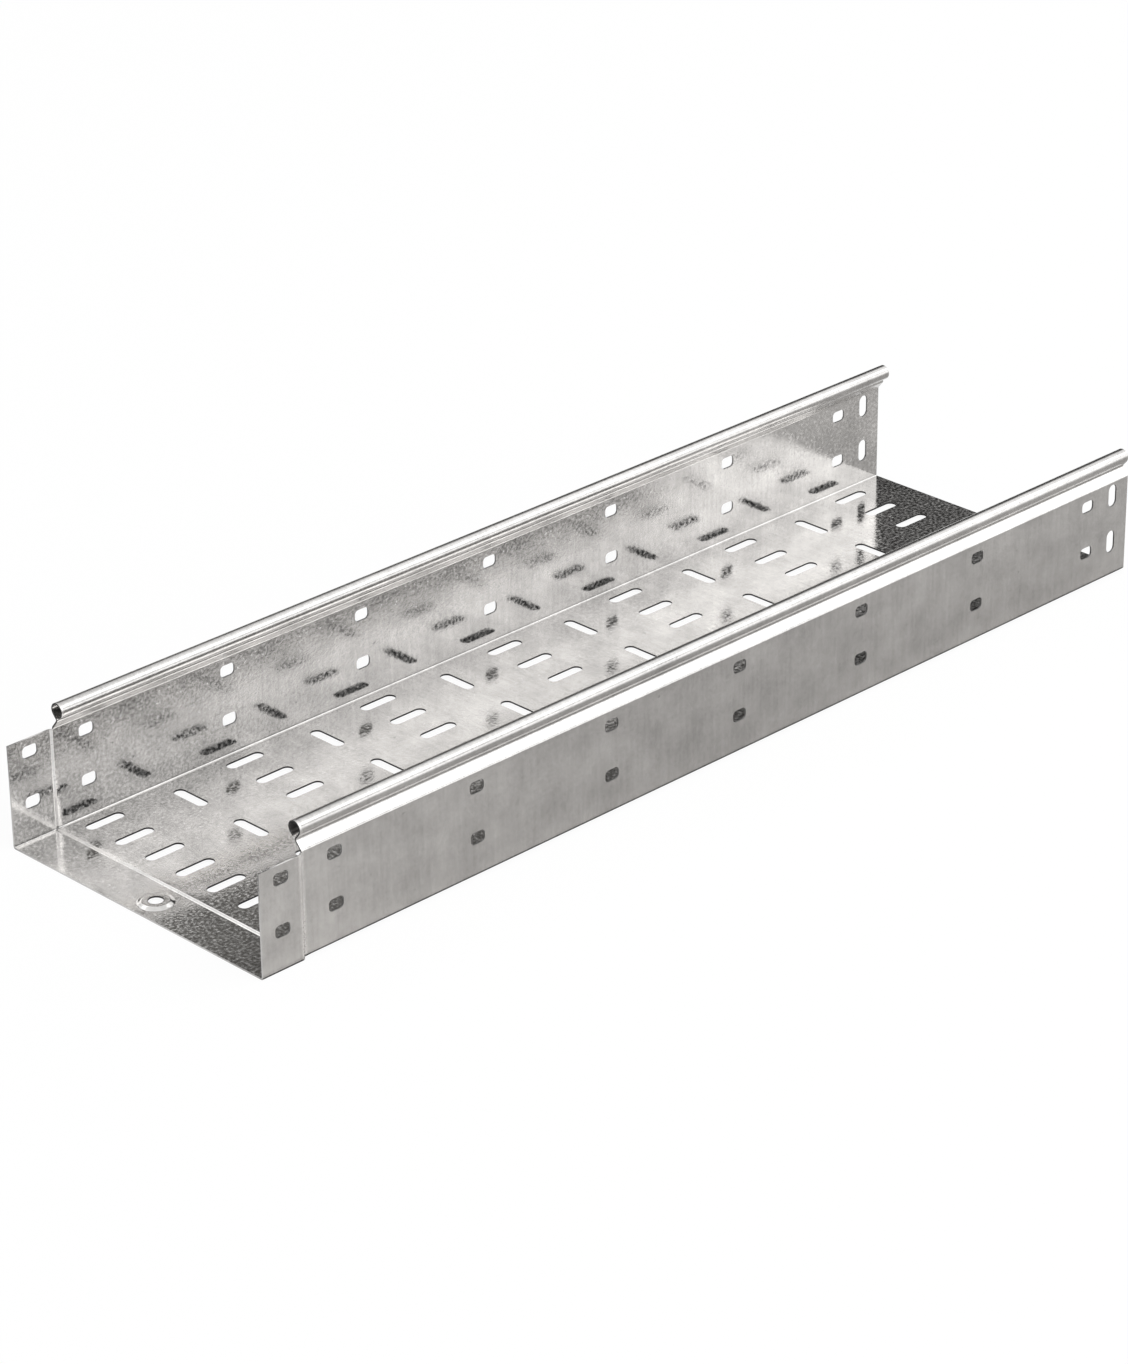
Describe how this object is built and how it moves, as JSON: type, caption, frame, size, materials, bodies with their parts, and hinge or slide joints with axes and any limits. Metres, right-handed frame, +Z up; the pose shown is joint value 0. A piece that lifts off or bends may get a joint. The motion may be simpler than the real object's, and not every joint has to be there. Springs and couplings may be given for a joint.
{
  "type": "perforated cable tray",
  "caption": "Perforated sheet-steel cable tray with rolled rims, slotted base, bolt holes in the walls and a joggled coupling end with a raised boss.",
  "frame": {"origin": "under the middle of the tray, on the underside of the coupling end, which is the lowest face", "axes": "+X along the tray, away from the coupling end; +Y across it; +Z up, out of the open side"},
  "size_m": [0.689, 0.2024, 0.0782],
  "materials": {
    "galvanised_sheet": "pre-galvanised sheet, smooth and fairly bright, with a faint mottle"
  },
  "bodies": {
    "root": {"cable_tray": "galvanised_sheet"}
  },
  "joints": []
}
